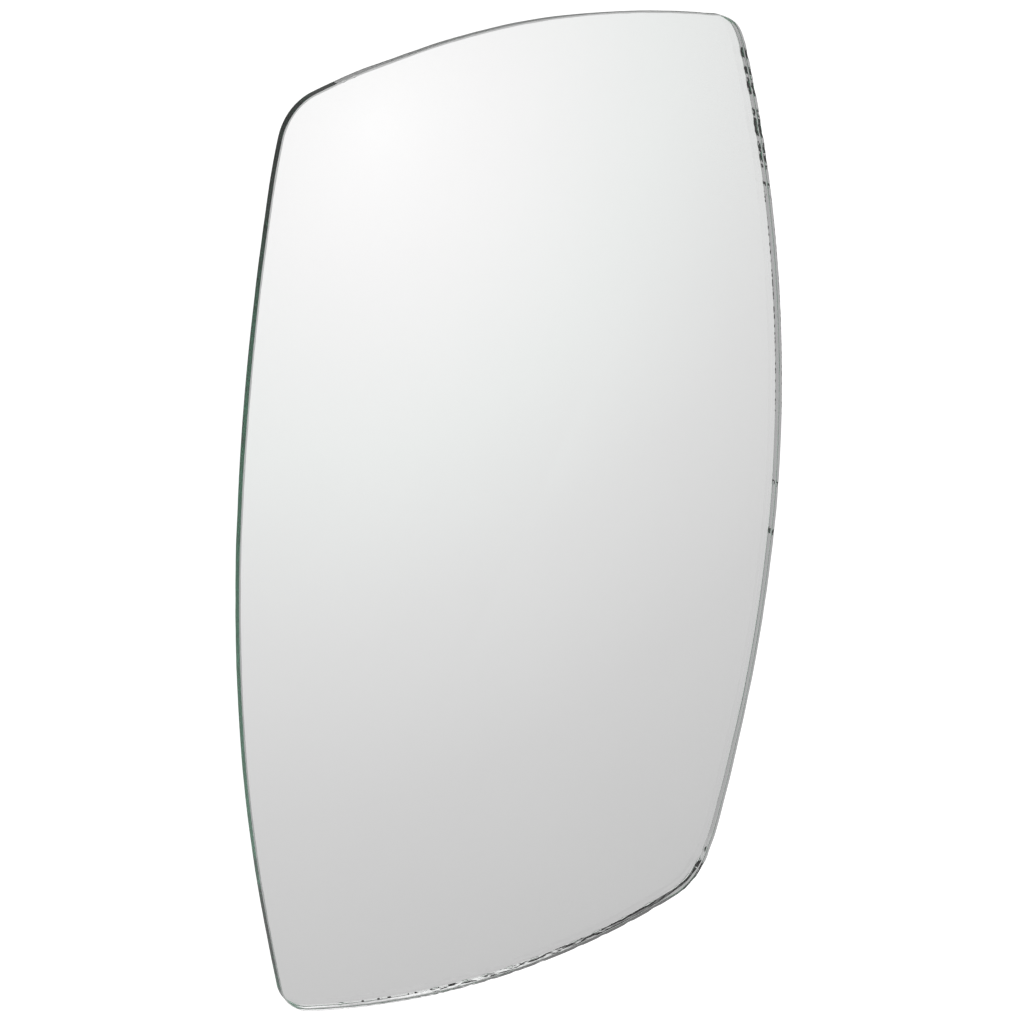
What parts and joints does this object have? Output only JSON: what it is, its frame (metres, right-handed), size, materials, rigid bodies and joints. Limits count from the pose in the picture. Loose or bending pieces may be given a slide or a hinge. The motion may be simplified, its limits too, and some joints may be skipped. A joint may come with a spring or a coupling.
{
  "type": "door mirror glass",
  "caption": "Convex glass of a car door mirror: a thin silvered sheet bent to a sphere, cut to a barrel outline with small round corners, its ground rim lightly chipped.",
  "frame": {"origin": "centre of the box around the glass, on the surface that its hollow back rests on", "axes": "+Z out of the bulging reflecting face, +Y along the height of the glass, +X to the right as seen facing the reflecting side with +Y up"},
  "size_m": [0.116, 0.19, 0.0068],
  "materials": {
    "mirror_glass": "polished float glass over a reflecting film, ground rim"
  },
  "bodies": {
    "root": {"mirror_glass": "mirror_glass"}
  },
  "joints": []
}
